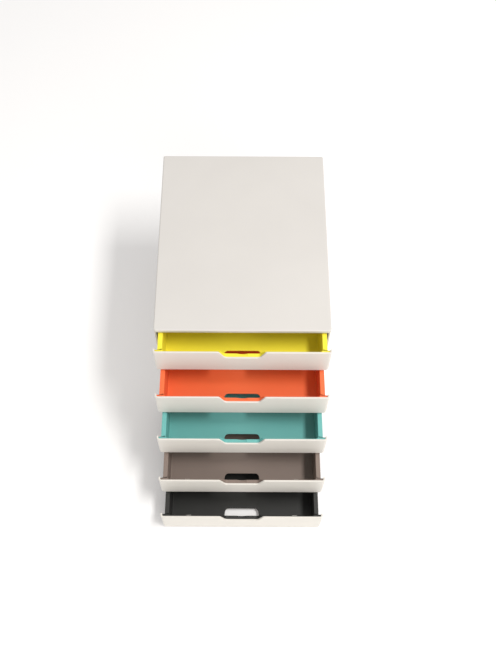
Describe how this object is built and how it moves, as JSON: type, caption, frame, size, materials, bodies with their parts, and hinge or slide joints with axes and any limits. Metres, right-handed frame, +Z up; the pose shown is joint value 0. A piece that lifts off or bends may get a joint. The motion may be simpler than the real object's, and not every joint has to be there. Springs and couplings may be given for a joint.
{
  "type": "desktop drawer tower",
  "caption": "Off-white desktop drawer box with stacked notched drawers in coloured plastic trays that slide out on moulded runners, shown pulled out in steps.",
  "frame": {"origin": "on the floor, under the middle of the whole part's box as it stands with its drawers pulled out", "axes": "+Z up, -Y towards the drawer fronts (the drawers pull out that way), +X to the right seen from the front"},
  "size_m": [0.28, 0.588, 0.292],
  "materials": {
    "casing_plastic": "fine moulded grain",
    "front_plastic": "satin moulded",
    "runner_plastic": "moulded",
    "screw_steel": "zinc plated",
    "foot_rubber": "matt",
    "yellow_plastic": "satin moulded",
    "orange_plastic": "satin moulded",
    "turquoise_plastic": "satin moulded",
    "taupe_plastic": "satin moulded",
    "charcoal_plastic": "satin moulded"
  },
  "bodies": {
    "casing": {"top_cover": "casing_plastic", "side_panel_left": "casing_plastic", "side_panel_right": "casing_plastic", "back_panel": "casing_plastic", "base_plate": "casing_plastic", "runner_frame_left": "runner_plastic", "runner_frame_right": "runner_plastic", "base_screws": "screw_steel", "foot_front_left": "foot_rubber", "foot_front_right": "foot_rubber", "foot_back_left": "foot_rubber", "foot_back_right": "foot_rubber"},
    "drawer_1": {"tray_1": "yellow_plastic", "front_panel_1": "front_plastic"},
    "drawer_2": {"tray_2": "orange_plastic", "front_panel_2": "front_plastic"},
    "drawer_3": {"tray_3": "turquoise_plastic", "front_panel_3": "front_plastic"},
    "drawer_4": {"tray_4": "taupe_plastic", "front_panel_4": "front_plastic"},
    "drawer_5": {"tray_5": "charcoal_plastic", "front_panel_5": "front_plastic"}
  },
  "joints": [
    {"name": "drawer_1_slide", "type": "slide", "parent": "casing", "child": "drawer_1", "axis": [0, -1, 0], "range_m": [-0.036, 0.234]},
    {"name": "drawer_2_slide", "type": "slide", "parent": "casing", "child": "drawer_2", "axis": [0, -1, 0], "range_m": [-0.086, 0.184]},
    {"name": "drawer_3_slide", "type": "slide", "parent": "casing", "child": "drawer_3", "axis": [0, -1, 0], "range_m": [-0.135, 0.135]},
    {"name": "drawer_4_slide", "type": "slide", "parent": "casing", "child": "drawer_4", "axis": [0, -1, 0], "range_m": [-0.186, 0.084]},
    {"name": "drawer_5_slide", "type": "slide", "parent": "casing", "child": "drawer_5", "axis": [0, -1, 0], "range_m": [-0.232, 0.038]}
  ]
}
